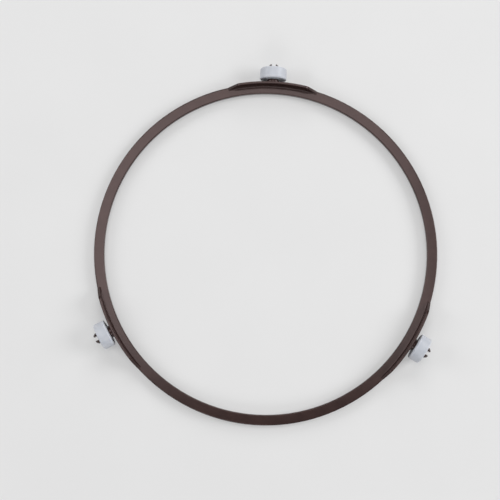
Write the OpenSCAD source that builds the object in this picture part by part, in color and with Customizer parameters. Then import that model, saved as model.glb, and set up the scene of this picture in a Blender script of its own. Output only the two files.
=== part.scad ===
// Roller ring that carries the turntable plate of a microwave oven.
// One moulded ring holds three rollers on split snap pins that point outwards.
// Millimetres, +Z up. The origin is on the ring's axis, on the floor that the rollers stand on,
// and +Y runs along the axle of the first roller.

/* [Ring] */
// Diameter of the circle that the rollers run on, at the middle of their treads
roller_circle_d = 225; // [170:1:320]
// Width of the flat band, from its inner edge to its outer edge
band_w = 6.4; // [4.5:0.1:12]
// Thickness of the band
band_t = 3; // [2:0.1:3.6]
// Radius along the four edges of the band
band_edge_r = 0.6; // [0.2:0.1:0.9]
// Height of the band's underside above the floor
floor_gap = 2.5; // [1.5:0.1:3]

/* [Walls behind the rollers] */
// Length of a wall's level top, straight across
wall_top_l = 43; // [24:1:60]
// Length of the slope at each end of a wall
ramp_l = 6.5; // [3:0.5:12]
// Radius where a slope meets the level top
ramp_corner_r = 3; // [1:0.5:5]
// Thickness of a wall at its foot
wall_t = 1.8; // [1.4:0.1:3]
// Draft of a wall's two faces, in degrees
wall_draft = 2; // [0:0.5:3]
// Radius along the two top edges of a wall
wall_edge_r = 0.3; // [0.1:0.1:0.4]
// Radius of the fillet between a wall and the band's face
foot_fillet_r = 0.6; // [0.2:0.1:1]
// Height of a wall's top above the top of its boss
wall_over_boss = 0.2; // [0.1:0.1:1]

/* [Rollers] */
// Diameter of a roller's tread
roller_d = 16.8; // [15.4:0.2:22]
// Length of a roller along its axle
roller_l = 7; // [5:0.1:10]
// Radius at both ends of the tread
tread_edge_r = 0.8; // [0.3:0.1:1.2]
// Thickness of the rim around the dished end faces
rim_t = 2; // [1.4:0.1:2.2]
// Width of the hub's end face around the bore
hub_w = 1.8; // [1.2:0.1:2]
// Depth of the dish between hub and rim
dish_depth = 0.6; // [0.3:0.1:1.2]
// Chamfer at both mouths of the bore
bore_chamfer = 0.3; // [0.1:0.1:0.5]

/* [Snap pins] */
// Diameter of a pin
pin_d = 6; // [4.6:0.1:6.4]
// Width of the shoulder that the boss makes around its pin
shoulder_w = 0.9; // [0.6:0.1:1.2]
// Length of the boss, from the wall's foot line to the shoulder
boss_l = 1.2; // [0.8:0.1:3]
// Width of the slot that splits a pin into two prongs
slot_w = 2.5; // [1.2:0.1:3]
// Length of solid pin left between the shoulder and the slot
pin_root_l = 1.4; // [0.5:0.1:3]
// How far a barb stands proud of the pin
barb_h = 0.45; // [0.2:0.05:0.6]
// Length of a barb, from its back to the tip of the pin
barb_l = 2.4; // [1.8:0.1:4]
// Length of a barb's full-width land
barb_land_l = 0.7; // [0.3:0.1:1]
// Width that the lead-in takes off the pin's radius at its tip
lead_in_w = 0.5; // [0.2:0.1:0.9]

/* [Clearances] */
// Running clearance between a pin and its bore, on the radius
bore_clearance = 0.08; // [0.05:0.01:0.1]
// Free play of a roller along its pin
side_play = 0.6; // [0.2:0.1:1.2]

/* [Hidden] */
$fn = 96;

roller_count = 3;
ring_colour = "#5a4745";
roller_colour = "#ccd0d9";

// Radii from the ring's axis, worked inwards and outwards from the roller circle
roller_mid_r = roller_circle_d / 2;
roller_inner_r = roller_mid_r - roller_l / 2;
roller_outer_r = roller_mid_r + roller_l / 2;
shoulder_r = roller_inner_r - side_play / 2;
band_outer_r = shoulder_r - boss_l;
band_inner_r = band_outer_r - band_w;
barb_back_r = roller_outer_r + side_play / 2;
pin_tip_r = barb_back_r + barb_l;

// Heights above the floor
axle_z = roller_d / 2;
boss_d = pin_d + 2 * shoulder_w;
band_top_z = floor_gap + band_t;
wall_top_z = axle_z + boss_d / 2 + wall_over_boss;
wall_rise = wall_top_z - band_top_z;

// Roller section
bore_r = pin_d / 2 + bore_clearance;
hub_r = bore_r + hub_w;
rim_inner_r = roller_d / 2 - rim_t;

// Puts its children at one roller, with the axle along +Y
module at_roller(i) {
    rotate([0, 0, i * 360 / roller_count])
        children();
}

// Turns a shape that is drawn along +Z so that it lies along the axle,
// starting at the given radius from the ring's axis
module along_axle(start_r) {
    translate([0, start_r, axle_z])
        rotate([-90, 0, 0])
            children();
}

module rounded_rectangle(w, h, r) {
    translate([r, 0])
        square([w - 2 * r, h]);
    translate([0, r])
        square([w, h - 2 * r]);
    for (x = [r, w - r], y = [r, h - r])
        translate([x, y])
            circle(r);
}

module band() {
    rotate_extrude()
        translate([band_inner_r, floor_gap])
            rounded_rectangle(band_w, band_t, band_edge_r);
}

// Section of a wall: drafted faces, small radii along the top, a fillet at the inner foot.
// It starts inside the band, where the band's own edge radius ends
module wall_section() {
    foot_z = band_top_z - band_edge_r;
    wall_inner_r = band_outer_r - wall_t;
    inset = wall_rise * tan(wall_draft);
    round_z = wall_top_z - wall_edge_r;
    inset_round = (round_z - band_top_z) * tan(wall_draft);
    polygon([
        [wall_inner_r, foot_z],
        [band_outer_r, foot_z],
        [band_outer_r, band_top_z],
        [band_outer_r - inset_round, round_z],
        [band_outer_r - inset - wall_edge_r, wall_top_z],
        [wall_inner_r + inset + wall_edge_r, wall_top_z],
        [wall_inner_r + inset_round, round_z],
        [wall_inner_r, band_top_z]
    ]);
    for (x = [wall_inner_r + inset + wall_edge_r, band_outer_r - inset - wall_edge_r])
        translate([x, round_z])
            circle(wall_edge_r);
    difference() {
        translate([wall_inner_r - foot_fillet_r, foot_z])
            square([foot_fillet_r + wall_t / 2, band_edge_r + foot_fillet_r]);
        translate([wall_inner_r - foot_fillet_r, band_top_z + foot_fillet_r])
            circle(foot_fillet_r);
    }
}

// Face-on outline of a wall: level top, sloping ends, rounded corners between them
module wall_outline() {
    half_top = wall_top_l / 2;
    half_foot = half_top + ramp_l;
    slope = atan(wall_rise / ramp_l);
    tangent_l = ramp_corner_r * tan(slope / 2);
    foot_z = band_top_z - band_edge_r;
    for (side = [0, 1])
        mirror([side, 0]) {
            polygon([
                [0, foot_z],
                [half_foot, foot_z],
                [half_foot, band_top_z],
                [half_top + tangent_l * cos(slope), wall_top_z - tangent_l * sin(slope)],
                [half_top - tangent_l, wall_top_z],
                [0, wall_top_z]
            ]);
            translate([half_top - tangent_l, wall_top_z - ramp_corner_r])
                circle(ramp_corner_r);
        }
}

module wall() {
    intersection() {
        rotate_extrude()
            wall_section();
        rotate([-90, 0, 0])
            linear_extrude(band_outer_r + 1)
                mirror([0, 1])
                    wall_outline();
    }
}

module boss() {
    wall_mid_r = band_outer_r - wall_t / 2;
    along_axle(wall_mid_r)
        cylinder(d = boss_d, h = shoulder_r - wall_mid_r);
}

// Pin with a barb around its tip, split by an upright slot with a round bottom
module snap_pin() {
    pin_r = pin_d / 2;
    barb_r = pin_r + barb_h;
    shank_l = barb_back_r - shoulder_r;
    pin_l = pin_tip_r - shoulder_r;
    slot_start_l = pin_root_l + slot_w / 2;
    overlap = boss_l / 2;
    along_axle(shoulder_r)
        difference() {
            rotate_extrude()
                polygon([
                    [0, -overlap],
                    [pin_r, -overlap],
                    [pin_r, shank_l],
                    [barb_r, shank_l + barb_h],
                    [barb_r, shank_l + barb_h + barb_land_l],
                    [pin_r - lead_in_w, pin_l],
                    [0, pin_l]
                ]);
            translate([-slot_w / 2, -barb_r - 1, slot_start_l])
                cube([slot_w, 2 * barb_r + 2, pin_l]);
            translate([0, barb_r + 1, slot_start_l])
                rotate([90, 0, 0])
                    cylinder(d = slot_w, h = 2 * barb_r + 2);
        }
}

module ring() {
    color(ring_colour) {
        band();
        for (i = [0 : roller_count - 1])
            at_roller(i) {
                wall();
                boss();
                snap_pin();
            }
    }
}

// Half section of a roller, with its mid-plane on the X axis
module roller_section() {
    tread_r = roller_d / 2;
    half_l = roller_l / 2;
    dish_slope_w = dish_depth / 2;
    difference() {
        union() {
            translate([bore_r, -half_l])
                square([tread_r - tread_edge_r - bore_r, roller_l]);
            translate([bore_r, tread_edge_r - half_l])
                square([tread_r - bore_r, roller_l - 2 * tread_edge_r]);
            for (z = [tread_edge_r - half_l, half_l - tread_edge_r])
                translate([tread_r - tread_edge_r, z])
                    circle(tread_edge_r);
        }
        for (side = [0, 1])
            mirror([0, side]) {
                polygon([
                    [hub_r, half_l],
                    [hub_r + dish_slope_w, half_l - dish_depth],
                    [rim_inner_r - dish_slope_w, half_l - dish_depth],
                    [rim_inner_r, half_l]
                ]);
                polygon([
                    [bore_r, half_l],
                    [bore_r, half_l - bore_chamfer],
                    [bore_r + bore_chamfer, half_l]
                ]);
            }
    }
}

module roller(i) {
    color(roller_colour)
        at_roller(i)
            along_axle(roller_mid_r)
                rotate_extrude()
                    roller_section();
}

ring();
roller(0);  // roller_1
roller(1);  // roller_2
roller(2);  // roller_3
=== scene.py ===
"""Looks of the roller ring: camera, studio, moulded plastics. Metres, in the part's own frame."""

import math

import bpy
from mathutils import Matrix, Quaternion, Vector

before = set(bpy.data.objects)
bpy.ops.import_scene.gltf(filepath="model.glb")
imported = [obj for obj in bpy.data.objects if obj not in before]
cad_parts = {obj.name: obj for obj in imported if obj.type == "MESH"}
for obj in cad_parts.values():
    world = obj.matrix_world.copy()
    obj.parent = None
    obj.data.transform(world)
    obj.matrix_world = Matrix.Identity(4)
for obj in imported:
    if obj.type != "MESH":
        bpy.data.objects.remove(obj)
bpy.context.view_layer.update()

MM = 0.001

# Photograph: its frame, and how the ring lies in it
FRAME_PX = 500
RING_AXIS_PX = (265.8, 251.6)
MM_PER_PX = 0.6257
PLANE_Z = 5.5 * MM
LENS_DISTANCE = 0.62
TILT_DEG = 5.75
ROLL_DEG = 2.5
SENSOR_MM = 36.0
CLIP_END = 20

# Studio
FLOOR_SIZE = 6
SKY_STRENGTH = 0.2
FLOOR_GLOW = 0.27
RING_MIDDLE = (0, 0, 0)
OVER_MIDDLE = (-0.12, 0.24, 0)
# Name, place, point it looks at, width and height, watts, turn in degrees
SOFTBOXES = (
    ("softbox_over", (-0.12, 0.24, 1.5), OVER_MIDDLE, (1.0, 0.68), 5.4, 5),
    ("softbox_left", (-1.5, 0.3, 1.0), RING_MIDDLE, (0.9, 0.9), 9.5, 0),
    ("softbox_right", (1.5, 0.3, 1.0), RING_MIDDLE, (0.9, 0.9), 17.5, 0),
    ("softbox_back", (0.1, 1.6, 1.0), RING_MIDDLE, (1.2, 0.9), 9.5, 0),
    ("softbox_front", (0, -1.6, 1.1), RING_MIDDLE, (1.2, 0.9), 9, 0),
)

# Part of the noise range that the finishes spread over
NOISE_LOW = 0.3
NOISE_HIGH = 0.7
FLOW_DETAIL = 3
GRAIN_DETAIL = 5
EVEN = (1, 1, 1)


def srgb(red, green, blue):
    """Linear colour from 0-255 screen values."""
    return tuple(
        v / 12.92 if v <= 0.04045 else ((v + 0.055) / 1.055) ** 2.4
        for v in (red / 255, green / 255, blue / 255)
    )


def add_camera():
    """Camera of the photograph: the ring's axis lies at RING_AXIS_PX where it meets PLANE_Z."""
    focal_px = LENS_DISTANCE / (MM_PER_PX * MM)
    tilt, roll = math.radians(TILT_DEG), math.radians(ROLL_DEG)
    back = Vector((0, -math.sin(tilt), math.cos(tilt)))
    level = Vector((-math.sin(roll), math.cos(roll), 0))
    up = (level - back * level.dot(back)).normalized()
    right = up.cross(back)
    off_axis = right * (RING_AXIS_PX[0] - FRAME_PX / 2) + up * (FRAME_PX / 2 - RING_AXIS_PX[1])
    place = Vector((0, 0, PLANE_Z)) + back * LENS_DISTANCE - off_axis * MM_PER_PX * MM
    data = bpy.data.cameras.new("camera")
    data.sensor_width = SENSOR_MM
    data.lens = focal_px * SENSOR_MM / FRAME_PX
    data.clip_end = CLIP_END
    camera = bpy.data.objects.new("camera", data)
    camera.matrix_world = Matrix.Translation(place) @ Matrix((right, up, back)).transposed().to_4x4()
    bpy.context.scene.collection.objects.link(camera)
    bpy.context.scene.camera = camera


def area_light(name, place, aim, size, watts, turn_deg):
    """Softbox that looks at a point, turned about its own axis."""
    data = bpy.data.lights.new(name, "AREA")
    data.shape = "RECTANGLE"
    data.size, data.size_y = size
    data.energy = watts
    light = bpy.data.objects.new(name, data)
    light.location = place
    aimed = (Vector(aim) - Vector(place)).to_track_quat("-Z", "Y")
    light.rotation_euler = (aimed @ Quaternion((0, 0, 1), math.radians(turn_deg))).to_euler()
    bpy.context.scene.collection.objects.link(light)


def add_studio():
    """Five soft lights, a faint pale sky and a pale floor."""
    for softbox in SOFTBOXES:
        area_light(*softbox)
    world = bpy.data.worlds.new("studio")
    world.use_nodes = True
    sky = world.node_tree.nodes["Background"]
    sky.inputs["Color"].default_value = (*srgb(232, 232, 233), 1)
    sky.inputs["Strength"].default_value = SKY_STRENGTH
    bpy.context.scene.world = world
    bpy.context.scene.view_settings.view_transform = "Standard"
    bpy.ops.mesh.primitive_plane_add(size=FLOOR_SIZE, location=(0, 0, 0))
    floor = bpy.context.object
    floor.name = "floor"
    floor.data.materials.append(floor_material())


def noise_on_object(tree, size, detail, stretch=EVEN):
    """Noise with patches of the given size in metres, fixed to the object."""
    places = tree.nodes.new("ShaderNodeTexCoord")
    mapping = tree.nodes.new("ShaderNodeMapping")
    mapping.inputs["Scale"].default_value = stretch
    noise = tree.nodes.new("ShaderNodeTexNoise")
    noise.inputs["Scale"].default_value = 1 / size
    noise.inputs["Detail"].default_value = detail
    tree.links.new(places.outputs["Object"], mapping.inputs["Vector"])
    tree.links.new(mapping.outputs["Vector"], noise.inputs["Vector"])
    return noise.outputs["Fac"]


def mix_by(tree, factor, first, second):
    """Colour that runs from first to second with the factor."""
    ramp = tree.nodes.new("ShaderNodeValToRGB")
    ramp.color_ramp.elements[0].position = NOISE_LOW
    ramp.color_ramp.elements[0].color = (*first, 1)
    ramp.color_ramp.elements[1].position = NOISE_HIGH
    ramp.color_ramp.elements[1].color = (*second, 1)
    tree.links.new(factor, ramp.inputs["Fac"])
    return ramp.outputs["Color"]


def range_by(tree, factor, low, high):
    """Number that runs from low to high with the factor."""
    span = tree.nodes.new("ShaderNodeMapRange")
    span.inputs["From Min"].default_value = NOISE_LOW
    span.inputs["From Max"].default_value = NOISE_HIGH
    span.inputs["To Min"].default_value = low
    span.inputs["To Max"].default_value = high
    tree.links.new(factor, span.inputs["Value"])
    return span.outputs["Result"]


def add_grain(tree, shader, factor, height):
    """Bump of the given height in metres."""
    bump = tree.nodes.new("ShaderNodeBump")
    bump.inputs["Distance"].default_value = height
    tree.links.new(factor, bump.inputs["Height"])
    tree.links.new(bump.outputs["Normal"], shader.inputs["Normal"])


def finish(name, colours, roughness, flow_mm, grain_mm, grain_height_mm, stretch=EVEN):
    """Moulded or pressed surface: slow colour flow, uneven gloss and a fine grain."""
    material = bpy.data.materials.new(name)
    material.use_nodes = True
    tree = material.node_tree
    shader = tree.nodes["Principled BSDF"]
    flow = noise_on_object(tree, flow_mm * MM, FLOW_DETAIL, stretch)
    fine = noise_on_object(tree, grain_mm * MM, GRAIN_DETAIL)
    tree.links.new(mix_by(tree, flow, *colours), shader.inputs["Base Color"])
    tree.links.new(range_by(tree, fine, *roughness), shader.inputs["Roughness"])
    add_grain(tree, shader, fine, grain_height_mm * MM)
    return material, shader


def ring_material():
    """Dark brown satin plastic, slightly uneven in colour and gloss."""
    colours = (srgb(43, 29, 27), srgb(53, 37, 34))
    roughness = (0.13, 0.22)
    material, shader = finish(
        "ring_plastic", colours, roughness, flow_mm=9, grain_mm=0.55, grain_height_mm=0.005, stretch=(1, 1, 3)
    )
    shader.inputs["Specular Tint"].default_value = (1.0, 0.8, 0.79, 1)
    return material


def roller_material():
    """Milky white plastic that lets a little light in."""
    colours = (srgb(189, 193, 201), srgb(199, 202, 209))
    roughness = (0.34, 0.48)
    material, shader = finish(
        "roller_plastic", colours, roughness, flow_mm=4, grain_mm=0.4, grain_height_mm=0.008
    )
    shader.inputs["Subsurface Weight"].default_value = 0.45
    shader.inputs["Subsurface Radius"].default_value = (1.0, 0.95, 0.9)
    shader.inputs["Subsurface Scale"].default_value = 2.2 * MM
    return material


def floor_material():
    """Pale paper, lit a little from below so that the shadows stay soft."""
    colours = (srgb(184, 184, 184), srgb(186, 186, 186))
    roughness = (0.85, 0.95)
    material, shader = finish(
        "floor_paper", colours, roughness, flow_mm=60, grain_mm=2, grain_height_mm=0.005
    )
    shader.inputs["Emission Color"].default_value = (1, 1, 1, 1)
    shader.inputs["Emission Strength"].default_value = FLOOR_GLOW
    return material


def dress(node, material):
    """Gives a CAD node its finish."""
    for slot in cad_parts[node].material_slots:
        slot.material = material


add_camera()
add_studio()
dress("ring", ring_material())
roller_plastic = roller_material()
for node in ("roller_1", "roller_2", "roller_3"):
    dress(node, roller_plastic)
